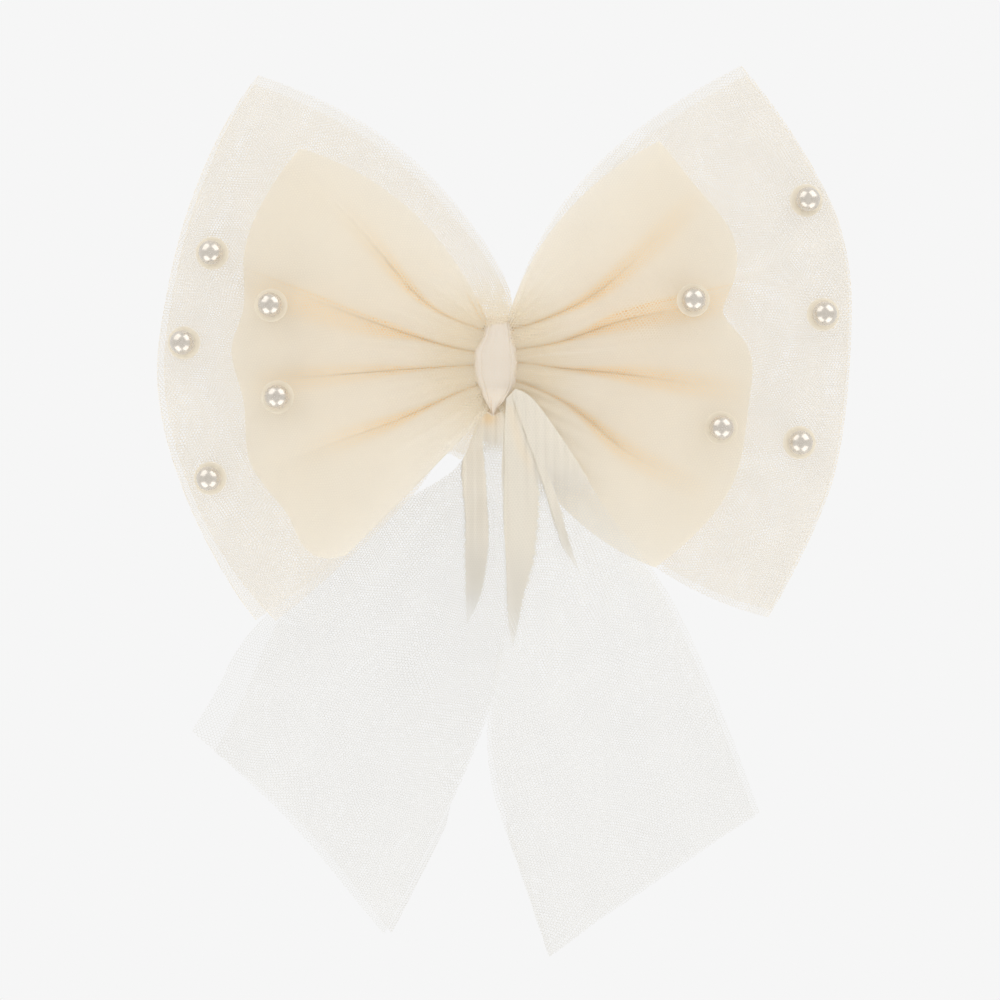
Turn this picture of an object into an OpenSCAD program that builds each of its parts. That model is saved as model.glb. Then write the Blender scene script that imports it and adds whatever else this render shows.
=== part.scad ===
// A large tulle hair bow on a French barrette: two tulle wings with an ivory lining inside each,
// two tulle tails, a centre wrap, ten riveted pearls and a barrette that clasps the hair.
//
// X runs across the bow, Z points up and -Y is the front. The origin is the middle of the hair gap,
// between the barrette's tension bar and its clasp.

/* [Tulle wings] */
// Reach of the left wing from the knot to its fold
left_reach = 112.5; // [100:0.5:118]
// Reach of the right wing from the knot to its fold
right_reach = 119; // [100:0.5:124]
// Depth of a wing from its front ply to its back ply, where it is fullest
wing_depth = 22; // [20:1:24]

/* [Ivory lining] */
// Reach of the left lining from the knot to its fold
left_lining_reach = 88; // [70:1:92]
// Reach of the right lining from the knot to its fold
right_lining_reach = 85; // [70:1:92]
// Depth of a lining from front to back, where it is fullest
lining_depth = 14; // [10:1:15]

/* [Knot] */
// Width of the centre wrap
knot_w = 14; // [12:0.5:16]
// Height of the centre wrap at the front
knot_h = 31; // [31:0.5:34]

/* [Tails] */
// Thickness of a tail, two plies together
tail_t = 1.2; // [0.8:0.1:1.4]

/* [Pearls] */
// Diameter of a pearl
pearl_d = 8; // [6:0.5:9]
// Diameter of the disc behind a pearl
disc_d = 11; // [10:0.5:12]

/* [Barrette] */
// Thickness of the base plate and the clasp
plate_t = 0.8; // [0.7:0.05:0.85]
// Width of the base plate
base_w = 9; // [9:0.5:10]
// Width of the clasp
clasp_w = 7; // [6.5:0.1:7]

/* [Hidden] */
$fn = 96;
PEARLS = 10;
function numbered(name) = [for (i = [1:PEARLS]) str(name, i)];

IVORY = [0.93, 0.86, 0.75];
TULLE = [0.95, 0.93, 0.89];
STEEL = [0.78, 0.78, 0.76];
PEARL = [0.92, 0.91, 0.88];

// ---- wings: a strip folded into a loop, gathered at the knot, its plies apart between them ----
waist_y = -10.5;       // the gathers' middle, in front of the base plate
lean = 0.07;           // how far a wing leans forward for each millimetre away from the knot
waist_h = 13;          // half the height of the gathers inside the knot
waist_gap = 0.1;       // from the centre line to either wing's gathers
top_bow = [-26, 18];   // how a wing's top edge bows up and over towards the knot
fold_thinning = 0.75;  // the share of the depth that is gone at the fold
across = 20;           // cells from a wing's bottom edge to its top edge
along = 14;            // cells from the knot to the fold

// A wing: [side, reach, gain at the top corner, gain at the bottom corner, top angle, bottom angle,
//          half depth, half depth at the knot, ply thickness, drop of the bottom edge's middle]
LEFT_WING = [-1, left_reach, 12, 3, 50.5, 48, wing_depth / 2, 3, 0.6, 6];
RIGHT_WING = [1, right_reach, 9.7, 5.4, 50.4, 43, wing_depth / 2, 3, 0.6, 24];
LEFT_LINING = [-1, left_lining_reach, 9, -2, 47.7, 48.9, lining_depth / 2, 1.8, 0.5, 2];
RIGHT_LINING = [1, right_lining_reach, 7, 2, 52.5, 51, lining_depth / 2, 1.8, 0.5, 4];

function reach_at(w, a, t) = w[1] - t + w[2] * pow(max(0, a) / w[4], 2) + w[3] * pow(max(0, -a) / w[5], 2);
function fold_angle(w, v) = (w[4] - w[5]) / 2 + (w[4] + w[5]) / 2 * v;
function fold_point(w, v, t) =
    let (a = fold_angle(w, v)) reach_at(w, a, t) * [w[0] * cos(a), sin(a)];

// Where a thread of the cloth lies in the front view: u runs from the knot, 0, to the fold, 1,
// and v from the bottom edge, -1, to the top edge, 1. t draws the fold in by a ply's thickness.
function front_view(w, u, v, t = 0) =
    let (
        start = [w[0] * waist_gap, waist_h * v],
        end = fold_point(w, v, t),
        middle = (start + end) / 2 + pow(max(0, v), 2) * [w[0] * top_bow[0], top_bow[1]]
            - pow(max(0, -v), 2) * [0, w[9]]
    )
    pow(1 - u, 2) * start + 2 * u * (1 - u) * middle + u * u * end;

// Half the depth between the plies: it grows up to the wing's middle, thins again towards the fold
// and closes round it
function half_depth(w, u, t) =
    let (grown = w[7] + (w[6] - w[7]) * sin(90 * min(1, 2 * u)))
    (grown * (1 - fold_thinning * pow(max(0, 2 * u - 1), 1.3)) - t) * sqrt(1 - pow(u, 24));

// A point of a wing. ply is -1 on the front ply and 1 on the back ply.
function wing_point(w, u, v, ply, t = 0) =
    let (p = front_view(w, u, v, t))
    [p[0], waist_y - lean * norm(p) + ply * half_depth(w, u, t), p[1]];

// One thread of the loop: out along the front ply, round the fold and back along the back ply,
// with the points closer together towards the fold
function loop_row(w, v, t) = [
    for (i = [0:along]) wing_point(w, sin(90 * i / along), v, -1, t),
    for (i = [along - 1:-1:0]) wing_point(w, sin(90 * i / along), v, 1, t)
];

// A closed skin between an outer and an inner surface, each a list of rows of points
module skin(outer, inner, flip) {
    rows = len(outer);
    n = len(outer[0]);
    points = concat([for (r = outer) each r], [for (r = inner) each r]);
    function at(side, r, i) = side * rows * n + r * n + i;
    function quad(a, b, c, d) = flip ? [[a, c, b], [a, d, c]] : [[a, b, c], [a, c, d]];
    faces = [
        for (r = [0:rows - 2], i = [0:n - 2])
            each quad(at(0, r, i), at(0, r, i + 1), at(0, r + 1, i + 1), at(0, r + 1, i)),
        for (r = [0:rows - 2], i = [0:n - 2])
            each quad(at(1, r, i), at(1, r + 1, i), at(1, r + 1, i + 1), at(1, r, i + 1)),
        for (i = [0:n - 2])
            each quad(at(0, 0, i), at(1, 0, i), at(1, 0, i + 1), at(0, 0, i + 1)),
        for (i = [0:n - 2])
            each quad(at(0, rows - 1, i), at(0, rows - 1, i + 1), at(1, rows - 1, i + 1), at(1, rows - 1, i)),
        for (r = [0:rows - 2])
            each quad(at(0, r, 0), at(0, r + 1, 0), at(1, r + 1, 0), at(1, r, 0)),
        for (r = [0:rows - 2])
            each quad(at(0, r, n - 1), at(1, r, n - 1), at(1, r + 1, n - 1), at(0, r + 1, n - 1))
    ];
    polyhedron(points, faces, convexity = 6);
}

module wing(w) {
    rows = [for (k = [0:across]) -1 + 2 * k / across];
    skin([for (v = rows) loop_row(w, v, 0)], [for (v = rows) loop_row(w, v, w[8])], w[0] > 0);
}

module left_wing() color(TULLE) wing(LEFT_WING);
module right_wing() color(TULLE) wing(RIGHT_WING);
module left_lining() color(IVORY) wing(LEFT_LINING);
module right_lining() color(IVORY) wing(RIGHT_LINING);

// ---- tails: flat hanging strips, each brought in to the gathers by a narrowing neck ----
// Necks, from the knot down: [z, left edge, right edge, y of the strip's middle]
LEFT_NECK = [[-12.5, -4.5, 1, -6.95], [-17, -7, 0, -6.6], [-28, -18, -3, -2.5], [-45, -38, -3, 0]];
RIGHT_NECK = [[-12.5, -1, 4.5, -14.5], [-17, 1, 9, -17.5], [-26, 3, 22, -24.5], [-42, 3, 32, -28]];
// Outlines of the hanging strips in the front view, [x, z]
LEFT_STRIP = [[-38, -45], [-3, -45], [2.5, -80], [-3, -121], [-18.5, -156], [-37, -193],
              [-62, -166], [-102, -123], [-84.5, -89]];
RIGHT_STRIP = [[3, -42], [32, -42], [50, -66], [64.5, -90], [74, -112], [87.5, -149],
               [47.5, -175], [20, -196], [6, -158], [-1, -125], [3, -80]];

module station(s) translate([s[1], s[3] - tail_t / 2, s[0] - 0.05]) cube([s[2] - s[1], tail_t, 0.1]);

module tail(neck, strip) {
    for (i = [0:len(neck) - 2]) hull() {
        station(neck[i]);
        station(neck[i + 1]);
    }
    hang_y = neck[len(neck) - 1][3];
    translate([0, hang_y + tail_t / 2, 0]) rotate([90, 0, 0]) linear_extrude(tail_t) polygon(strip);
}

module left_tail() color(TULLE) tail(LEFT_NECK, LEFT_STRIP);
module right_tail() color(TULLE) tail(RIGHT_NECK, RIGHT_STRIP);

// ---- knot: a wrap round the gathers and the base plate, over the thread that binds the gathers ----
wrap_t = 1;            // the folded wrap's thickness
thread_d = 0.4;
turns = 6;             // turns of thread round the gathers
turn_pitch = 1.5;

// Half of the wrap's outline seen from the side, [y, z], from the front round to the back
function wrap_side(h) = [[-17.4, h - 9], [-16.6, h - 3], [-14.6, h], [-9, h - 0.6], [-5, 7.4], [-3.05, 6.2]];

// Extrudes a (y, z) outline across the bow, centred on x = 0
module across_bow(w) rotate([90, 0, 90]) translate([0, 0, -w / 2]) linear_extrude(w) children();

module side_outline(half) polygon(concat(half, [for (i = [len(half) - 1:-1:0]) [half[i][0], -half[i][1]]]));

module centre_wrap() color(IVORY) intersection() {
    across_bow(knot_w) difference() {
        side_outline(wrap_side(knot_h / 2));
        offset(delta = -wrap_t) side_outline(wrap_side(knot_h / 2));
    }
    // the wrap is pulled narrow at its top and its bottom
    hull() for (z = [-1, 1]) translate([0, 0, z * (knot_h - knot_w) / 2]) rotate([90, 0, 0])
        cylinder(d = knot_w, h = 60, center = true, $fn = 32);
}

module binding_thread() color(IVORY) for (i = [0:turns - 1])
    translate([(i - (turns - 1) / 2) * turn_pitch, 0, 0]) across_bow(thread_d) difference() {
        translate([-15.55, -13.9]) square([9.4, 27.8]);
        translate([-15.55 + thread_d, -13.9 + thread_d]) square([9.4 - 2 * thread_d, 27.8 - 2 * thread_d]);
    }

// ---- barrette ----
hinge_x = -38;         // the hinge pin's axis is vertical
hinge_y = 5.35;
hair_gap = 5.1;        // from the tension bar to the clasp, at the middle
base_r = 90;           // the base plate curves round the head
clasp_r = 300;
tension_r = 141;
tension_t = 0.3;
tension_w = 5;
tension_half = 27;     // half the tension bar's span
base_y = -4.45;        // the base plate's hair side at the middle
base_catch_x = 35.5;   // the base plate's end beside the catch
base_hinge_x = -39.6;  // and beside the hinge
pad_t = 0.7;
pad_half = 27;
pin_r = 0.5;
barrel_r = 1;
running = 0.05;        // radial clearance of the pin in the clasp's barrel
ear_t = 0.8;
clasp_tip_x = 40.5;
window_x = [34.8, 38.4];
window_half = 2;
block_x = [28.5, 32];
arm_t = 0.5;
arm_y = [3.2, 4.1];
arm_root_x = 32.5;     // where an arm bends, at the block's end
arm_root_r = 0.35;
arm_in = 1.1;          // from the middle to an arm's inner face
hook_x = [35.6, 37.4];
hook_y = [5.85, 6.35];

// A strip bent to a radius about a vertical axis behind the bow. y is its hair side at the middle,
// r the radius of that side, and t its thickness towards the front (negative: towards the hair).
module bent_strip(x0, x1, w, y, r, t) intersection() {
    translate([0, y + r, -w / 2]) difference() {
        cylinder(r = max(r, r + t), h = w, $fn = 360);
        translate([0, 0, -1]) cylinder(r = min(r, r + t), h = w + 2, $fn = 360);
    }
    translate([x0, -20, -w]) cube([x1 - x0, 40, 2 * w]);
}

module backing_pad() color(IVORY)
    bent_strip(-pad_half, pad_half, 11, base_y - plate_t - 0.05, base_r + plate_t + 0.05, pad_t);

module ears() for (z = [-base_w / 2, base_w / 2 - ear_t]) translate([0, 0, z]) {
    translate([hinge_x, hinge_y, 0]) cylinder(r = 1.7, h = ear_t);
    translate([hinge_x - 1.5, hinge_y - 2.2, 0]) cube([3.1, 2.2, ear_t]);
}

module base_plate() color(STEEL) difference() {
    union() {
        bent_strip(base_hinge_x, base_catch_x, base_w, base_y, base_r, plate_t);
        ears();
        // lugs that keep the tension bar's ends in line
        for (x = [-1, 1], z = [-1, 1])
            translate([x * 25.5 - 0.6, -1.1, z * (tension_w / 2 + 0.45) - 0.35]) cube([1.2, 1.9, 0.7]);
    }
    translate([hinge_x, hinge_y, -base_w]) cylinder(r = pin_r + 0.02, h = 2 * base_w);
    catch_bore(0.02);
}

module tension_bar() color(STEEL)
    bent_strip(-tension_half, tension_half, tension_w, -hair_gap / 2, tension_r, tension_t);

module hinge_pin() color(STEEL) translate([hinge_x, hinge_y, 0]) {
    cylinder(r = pin_r, h = base_w, center = true);
    for (z = [-1, 1]) translate([0, 0, z * (base_w / 2 + 0.2)]) cylinder(r = 0.9, h = 0.4, center = true);
}

module clasp_bar() color(STEEL) difference() {
    union() {
        bent_strip(hinge_x + 0.5, clasp_tip_x, clasp_w, hair_gap / 2 + plate_t, clasp_r - plate_t / 2, plate_t);
        translate([hinge_x, hinge_y, 0]) cylinder(r = barrel_r, h = clasp_w, center = true);
    }
    translate([hinge_x, hinge_y, -clasp_w]) cylinder(r = pin_r + running, h = 2 * clasp_w);
    translate([window_x[0], 0, -window_half]) cube([window_x[1] - window_x[0], 12, 2 * window_half]);
}

rivet_x = 30.2;
rivet_r = 0.6;
rivet_lean = asin(rivet_x / base_r);

// Places children on the base plate's hair side under the catch, with +Z out of the plate
module at_rivet() translate([rivet_x, base_y + base_r - sqrt(base_r * base_r - rivet_x * rivet_x), 0])
    rotate([0, 0, rivet_lean]) rotate([-90, 0, 0]) children();

module catch_bore(clearance) at_rivet() cylinder(r = rivet_r + clearance, h = 20, center = true);

module catch_block() color(STEEL) difference() {
    intersection() {
        translate([block_x[0], -2, -2.4]) cube([block_x[1] - block_x[0], 5.7, 4.8]);
        translate([0, base_y + base_r, 0]) cylinder(r = base_r - 0.02, h = 20, center = true, $fn = 360);
    }
    catch_bore(0.02);
}

module catch_rivet() color(STEEL) at_rivet() {
    translate([0, 0, -plate_t - 0.2]) cylinder(r = rivet_r, h = 3.8);
    translate([0, 0, -plate_t - 0.35]) cylinder(r = 1.1, h = 0.35);
}

// The catch arm above the middle: a leaf from its round root at the block to the finger tab, with a
// hook on its back
module catch_arm() {
    translate([arm_root_x, arm_y[0], arm_in + arm_t / 2]) rotate([-90, 0, 0])
        cylinder(r = arm_root_r, h = arm_y[1] - arm_y[0]);
    translate([0, arm_y[1], 0]) rotate([90, 0, 0]) linear_extrude(arm_y[1] - arm_y[0])
        polygon([[arm_root_x, arm_in], [38.5, arm_in], [44, 3.4], [44, 4], [38.3, arm_in + arm_t],
                 [arm_root_x, arm_in + arm_t]]);
    translate([hook_x[0], arm_y[0], arm_in]) cube([hook_x[1] - hook_x[0], hook_y[1] - arm_y[0], arm_t]);
    translate([hook_x[0], hook_y[0], arm_in]) cube([hook_x[1] - hook_x[0], hook_y[1] - hook_y[0], 1.4]);
    translate([43.4, 1.9, 3.3]) cube([0.9, 3.8, 1.1]);
}

module upper_catch_arm() color(STEEL) catch_arm();
module lower_catch_arm() color(STEEL) mirror([0, 0, 1]) catch_arm();

// ---- pearls: each sits on a disc and is riveted through a wing's front ply to a cap behind it ----
// [wing, u, v] of each pearl
PEARL_AT = [
    [LEFT_WING, 0.885, 0.388], [LEFT_WING, 0.922, 0.048], [LEFT_WING, 0.902, -0.465],
    [LEFT_WING, 0.681, 0.241], [LEFT_WING, 0.649, -0.193],
    [RIGHT_WING, 0.958, 0.503], [RIGHT_WING, 0.923, 0.099], [RIGHT_WING, 0.87, -0.379],
    [RIGHT_WING, 0.575, 0.257], [RIGHT_WING, 0.644, -0.376]
];
ply_gap = 0.4;         // room for the ply's curve under a disc
rivet_pin_r = 0.6;
rivet_hole_r = 0.62;
disc_t = 0.4;
cap_d = 5;
cap_t = 0.5;
cap_z = -1.5;          // a cap's back, behind the ply's front
step = 0.01;

// Places children on a wing's front ply, with +Z out of the cloth
module on_ply(w, u, v) {
    p = wing_point(w, u, v, -1);
    du = wing_point(w, u + step, v, -1) - wing_point(w, u - step, v, -1);
    dv = wing_point(w, u, v + step, -1) - wing_point(w, u, v - step, -1);
    n = -w[0] * cross(du, dv);
    m = -n / norm(n) * sign(n[1]);
    translate(p) rotate([0, acos(m[2]), atan2(m[1], m[0])]) children();
}

module at_pearl(i) on_ply(PEARL_AT[i][0], PEARL_AT[i][1], PEARL_AT[i][2]) children();

module pearl(i) color(PEARL) at_pearl(i) {
    // a bead with a small flat where it meets the disc
    translate([0, 0, ply_gap + disc_t]) intersection() {
        translate([0, 0, pearl_d / 2 - 0.6]) sphere(d = pearl_d);
        translate([0, 0, pearl_d / 2]) cube(pearl_d, center = true);
    }
    translate([0, 0, cap_z]) cylinder(r = rivet_pin_r, h = ply_gap + disc_t - cap_z + 0.2);
}

module washer(d, t) difference() {
    cylinder(d = d, h = t);
    translate([0, 0, -1]) cylinder(r = rivet_hole_r, h = t + 2);
}

module pearl_disc(i) color(IVORY) at_pearl(i) translate([0, 0, ply_gap]) washer(disc_d, disc_t);
module rivet_cap(i) color(STEEL) at_pearl(i) translate([0, 0, cap_z]) washer(cap_d, cap_t);

left_wing();
right_wing();
left_lining();
right_lining();
left_tail();
right_tail();
centre_wrap();
binding_thread();
backing_pad();
base_plate();
tension_bar();
hinge_pin();
clasp_bar();
catch_block();
catch_rivet();
upper_catch_arm();
lower_catch_arm();
for (i = [0:PEARLS - 1]) pearl(i);
for (i = [0:PEARLS - 1]) pearl_disc(i);
for (i = [0:PEARLS - 1]) rivet_cap(i);
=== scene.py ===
import math
from collections import namedtuple

import bpy
import numpy as np
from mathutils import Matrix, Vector


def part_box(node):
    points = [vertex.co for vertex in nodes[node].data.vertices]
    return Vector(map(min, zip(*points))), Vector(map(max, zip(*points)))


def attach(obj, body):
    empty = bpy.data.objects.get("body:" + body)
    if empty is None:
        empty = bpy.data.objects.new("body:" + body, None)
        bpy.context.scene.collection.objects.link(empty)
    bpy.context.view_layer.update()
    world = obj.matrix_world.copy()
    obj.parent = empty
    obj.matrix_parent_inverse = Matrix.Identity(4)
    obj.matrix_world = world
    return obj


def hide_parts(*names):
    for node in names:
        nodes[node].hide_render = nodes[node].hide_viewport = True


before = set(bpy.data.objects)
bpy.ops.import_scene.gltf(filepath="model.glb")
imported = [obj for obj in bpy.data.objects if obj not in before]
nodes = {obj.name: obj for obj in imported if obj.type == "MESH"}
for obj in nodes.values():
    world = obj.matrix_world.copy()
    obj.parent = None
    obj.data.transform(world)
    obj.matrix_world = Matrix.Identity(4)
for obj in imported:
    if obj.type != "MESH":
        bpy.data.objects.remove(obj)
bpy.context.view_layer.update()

MM = 0.001  # one millimetre in metres; the shapes below are worked out in millimetres
BOW = "bow"  # the body that all the cloth and the pearls ride on
WAIST_Y = -10.5  # the gathers' middle
LEAN = 0.07  # how far a wing leans forward for each millimetre away from the knot


# ---- curves and meshes
def spline(points):
    """A smooth curve y(x) through points in order of x, level with its ends outside them."""
    x, y = np.array(points, float).T
    n, h = len(x), np.diff(x)
    a, rhs = np.eye(n), np.zeros(n)
    for i in range(1, n - 1):
        a[i, i - 1 : i + 2] = h[i - 1], 2 * (h[i - 1] + h[i]), h[i]
        rhs[i] = 6 * ((y[i + 1] - y[i]) / h[i] - (y[i] - y[i - 1]) / h[i - 1])
    m = np.linalg.solve(a, rhs)

    def at(t):
        t = np.clip(t, x[0], x[-1])
        i = np.clip(np.searchsorted(x, t) - 1, 0, n - 2)
        lo, hi = t - x[i], x[i + 1] - t
        return (
            (m[i] * hi**3 + m[i + 1] * lo**3) / (6 * h[i])
            + (y[i] / h[i] - m[i] * h[i] / 6) * hi
            + (y[i + 1] / h[i] - m[i + 1] * h[i] / 6) * lo
        )

    return at


def track(points):
    """A smooth plane curve through (s, x, z) stations, as a function of s giving (x, z) on the last axis."""
    fx = spline([(p[0], p[1]) for p in points])
    fz = spline([(p[0], p[2]) for p in points])
    return lambda s: np.stack([fx(s), fz(s)], -1)


def smooth(x, lo, hi):
    t = np.clip((x - lo) / (hi - lo), 0, 1)
    return t * t * (3 - 2 * t)


def crossing(f, along):
    """For each column of f the value of along, which has one entry per row, where f changes sign."""
    low = np.argmax(np.sign(f) != np.sign(f[:1]), axis=0)
    none = low == 0
    low = np.clip(low, 1, len(along) - 1)
    cols = np.arange(f.shape[1])
    f0, f1 = f[low - 1, cols], f[low, cols]
    t = f0 / np.where(f0 == f1, 1, f0 - f1)
    found = along[low - 1] + t * (along[low] - along[low - 1])
    return np.where(none, np.where(f[0] > 0, along[0], along[-1]), found)


def add(name, data):
    obj = bpy.data.objects.new(name, data)
    bpy.context.scene.collection.objects.link(obj)
    return obj


def smooth_mesh(name, points, faces):
    mesh = bpy.data.meshes.new(name)
    mesh.from_pydata(points, [], faces)
    mesh.polygons.foreach_set("use_smooth", [True] * len(mesh.polygons))
    return mesh


def grid_object(
    name, points, net=None, crease=None, painted_glow_mask=None, wrap_rows=False, wrap_cols=False, caps=False
):
    """A mesh of quads through a grid of points in mm. net holds the cloth's own coordinates, and the two masks
    after it say how far its colour goes to the painted glow and shade of the creases and to the painted orange
    glow."""
    rows, cols = points.shape[:2]
    idx = np.arange(rows * cols).reshape(rows, cols)
    if wrap_rows:
        idx = np.vstack([idx, idx[:1]])
    if wrap_cols:
        idx = np.hstack([idx, idx[:, :1]])
    quads = np.stack([idx[:-1, :-1], idx[:-1, 1:], idx[1:, 1:], idx[1:, :-1]], -1).reshape(-1, 4)
    faces = quads.tolist()
    if caps:
        faces += [list(range(cols))[::-1], list(range((rows - 1) * cols, rows * cols))]
    mesh = smooth_mesh(name, (points.reshape(-1, 3) * MM).tolist(), faces)
    if net is not None:
        a = mesh.attributes.new("net", "FLOAT_VECTOR", "POINT")
        flat = np.zeros((rows * cols, 3), np.float32)
        flat[:, :2] = net.reshape(-1, 2)
        a.data.foreach_set("vector", flat.ravel())
    for label, values in (("crease", crease), ("painted_glow_mask", painted_glow_mask)):
        if values is not None:
            a = mesh.attributes.new(label, "FLOAT", "POINT")
            a.data.foreach_set("value", values.reshape(-1).astype(np.float32))
    mesh.update()
    return add(name, mesh)


def lathe(name, profile, centre, axis, turns=72):
    """A profile of (radius, height) in mm turned about an axis through centre. Radius 0 is a single point."""
    z = Vector(axis).normalized()
    x = z.orthogonal().normalized()
    y = z.cross(x)
    verts, faces, rings = [], [], []
    for r, h in profile:
        if r < 1e-6:
            rings.append([len(verts)])
            verts.append(Vector(centre) + z * h * MM)
        else:
            rings.append(list(range(len(verts), len(verts) + turns)))
            for k in range(turns):
                a = 2 * math.pi * k / turns
                verts.append(Vector(centre) + (x * math.cos(a) * r + y * math.sin(a) * r + z * h) * MM)
    for a, b in zip(rings, rings[1:]):
        for k in range(turns):
            n = (k + 1) % turns
            if len(a) == 1:
                faces.append((a[0], b[n], b[k]))
            elif len(b) == 1:
                faces.append((a[k], a[n], b[0]))
            else:
                faces.append((a[k], a[n], b[n], b[k]))
    mesh = smooth_mesh(name, [tuple(v) for v in verts], faces)
    mesh.update()
    return add(name, mesh)


# ---- materials
class Shader:
    """The node tree of a new material, or of the owner that is given, built by short calls."""

    def __init__(self, name, owner=None, output="ShaderNodeOutputMaterial"):
        self.owner = owner or bpy.data.materials.new(name)
        self.owner.use_nodes = True
        self.tree = self.owner.node_tree
        self.tree.nodes.clear()
        self.out = self.node(output)

    def node(self, kind, **props):
        n = self.tree.nodes.new(kind)
        for k, v in props.items():
            setattr(n, k, v)
        return n

    def feed(self, socket, value):
        if isinstance(value, bpy.types.NodeSocket):
            self.tree.links.new(value, socket)
        else:
            socket.default_value = value

    def feed_colour(self, socket, value):
        self.feed(socket, value if isinstance(value, bpy.types.NodeSocket) else (*value, 1))

    def math(self, op, a, b=None):
        n = self.node("ShaderNodeMath", operation=op)
        self.feed(n.inputs[0], a)
        if b is not None:
            self.feed(n.inputs[1], b)
        return n.outputs[0]

    def vector(self, op, a, b=None, out=0):
        n = self.node("ShaderNodeVectorMath", operation=op)
        self.feed(n.inputs[0], a)
        if b is not None:
            self.feed(n.inputs[1], b)
        return n.outputs[out]

    def attribute(self, name, out):
        return self.node("ShaderNodeAttribute", attribute_name=name).outputs[out]

    def noise(self, where, scale, detail=2.0, rough=0.5, out=0):
        n = self.node("ShaderNodeTexNoise")
        self.feed(n.inputs["Vector"], where)
        n.inputs["Scale"].default_value = scale
        n.inputs["Detail"].default_value = detail
        n.inputs["Roughness"].default_value = rough
        return n.outputs[out]

    def wave(self, where, direction, scale, distortion=0.0, detail=2.0):
        n = self.node("ShaderNodeTexWave", wave_type="BANDS", bands_direction=direction)
        self.feed(n.inputs["Vector"], where)
        n.inputs["Scale"].default_value = scale
        n.inputs["Distortion"].default_value = distortion
        n.inputs["Detail"].default_value = detail
        return n.outputs["Fac"]

    def here(self):
        return self.node("ShaderNodeTexCoord").outputs["Object"]

    def blend(self, factor, a, b):
        n = self.node("ShaderNodeMix", data_type="RGBA")
        self.feed(n.inputs["Factor"], factor)
        self.feed_colour(n.inputs[6], a)
        self.feed_colour(n.inputs[7], b)
        return n.outputs[2]

    def map_range(self, value, lo, hi, to_lo=0.0, to_hi=1.0):
        n = self.node("ShaderNodeMapRange")
        for i, v in enumerate((value, lo, hi, to_lo, to_hi)):
            self.feed(n.inputs[i], v)
        return n.outputs[0]

    def bump(self, height, distance, strength=1.0):
        n = self.node("ShaderNodeBump")
        self.feed(n.inputs["Height"], height)
        n.inputs["Distance"].default_value = distance
        n.inputs["Strength"].default_value = strength
        return n.outputs[0]

    def principled(self, colour, rough, normal=None, **sockets):
        n = self.node("ShaderNodeBsdfPrincipled")
        self.feed_colour(n.inputs["Base Color"], colour)
        self.feed(n.inputs["Roughness"], rough)
        if normal is not None:
            self.feed(n.inputs["Normal"], normal)
        for k, v in sockets.items():
            n.inputs[k.replace("_", " ")].default_value = v
        return n.outputs[0]

    def translucent(self, colour):
        n = self.node("ShaderNodeBsdfTranslucent")
        self.feed_colour(n.inputs[0], colour)
        return n.outputs[0]

    def mix(self, factor, a, b):
        n = self.node("ShaderNodeMixShader")
        self.feed(n.inputs[0], factor)
        self.feed(n.inputs[1], a)
        self.feed(n.inputs[2], b)
        return n.outputs[0]

    def finish(self, shader):
        self.feed(self.out.inputs["Surface"], shader)
        return self.owner


PAINTED_GLOW = (0.99, 0.77, 0.48)  # painted glow: the colour painted where light would have been through many plies
NET_PITCH = 0.94  # mm from the middle of a hole to the next
NET_LINE = 0.14  # mm, the width of the yarn between two holes
NET_DRIFT, DRIFT_SCALE = 14, 0.022  # how far the rows wander, and how slowly
NET_WOBBLE, WOBBLE_SCALE = 0.18, 0.9  # the same within single holes


def push_about(s, where, noise, reach):
    """Coordinates moved sideways by a noise's colours, by up to half of reach each way."""
    centred = s.vector("SUBTRACT", noise, (0.5, 0.5, 0.5))
    return s.vector("ADD", where, s.vector("MULTIPLY", centred, (reach, reach, 0)))


def net_mask(s, turn, drift, pack=0.11):
    """1 on the yarn of a hexagonal bobbinet, 0 in its holes: with the cloth packed close in its creases, and
    then without. drift picks another part of the noise for each cloth."""
    where = s.attribute("net", "Vector")
    # the net is never quite square to the cut, and its slow drift makes the clouds seen where plies overlap
    moved = s.vector("ADD", where, (drift, drift * 1.7, 0))
    where = push_about(s, where, s.noise(moved, DRIFT_SCALE, 1.5, 0.5, out=1), NET_DRIFT)
    where = push_about(s, where, s.noise(where, WOBBLE_SCALE, 1.0, 0.5, out=1), NET_WOBBLE)
    turned = s.node("ShaderNodeVectorRotate", rotation_type="Z_AXIS")
    s.feed(turned.inputs["Vector"], where)
    turned.inputs["Angle"].default_value = math.radians(turn)
    cell = (NET_PITCH, NET_PITCH * math.sqrt(3), 1)
    q = s.vector("DIVIDE", turned.outputs[0], cell)
    a = s.vector("MULTIPLY", s.vector("SUBTRACT", s.vector("FRACTION", q), (0.5, 0.5, 0)), (*cell[:2], 0))
    half = s.vector("FRACTION", s.vector("ADD", q, (0.5, 0.5, 0)))
    b = s.vector("MULTIPLY", s.vector("SUBTRACT", half, (0.5, 0.5, 0)), (*cell[:2], 0))
    nearer = s.math("LESS_THAN", s.vector("LENGTH", a, out=1), s.vector("LENGTH", b, out=1))
    pick = s.node("ShaderNodeMix", data_type="VECTOR")
    s.feed(pick.inputs["Factor"], nearer)
    s.feed(pick.inputs[4], b)
    s.feed(pick.inputs[5], a)
    away = s.node("ShaderNodeSeparateXYZ")
    s.feed(away.inputs[0], s.vector("ABSOLUTE", pick.outputs[1]))
    x, y = away.outputs[0], away.outputs[1]
    slant = s.math("ADD", s.math("MULTIPLY", x, 0.5), s.math("MULTIPLY", y, math.sqrt(3) / 2))
    edge = s.math("MAXIMUM", x, slant)
    packed = s.math("MULTIPLY", s.attribute("crease", "Fac"), pack)
    hole = (NET_PITCH - NET_LINE) / 2
    lines = s.math("GREATER_THAN", edge, hole)
    return s.math("GREATER_THAN", s.math("ADD", edge, packed), hole), lines


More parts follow.
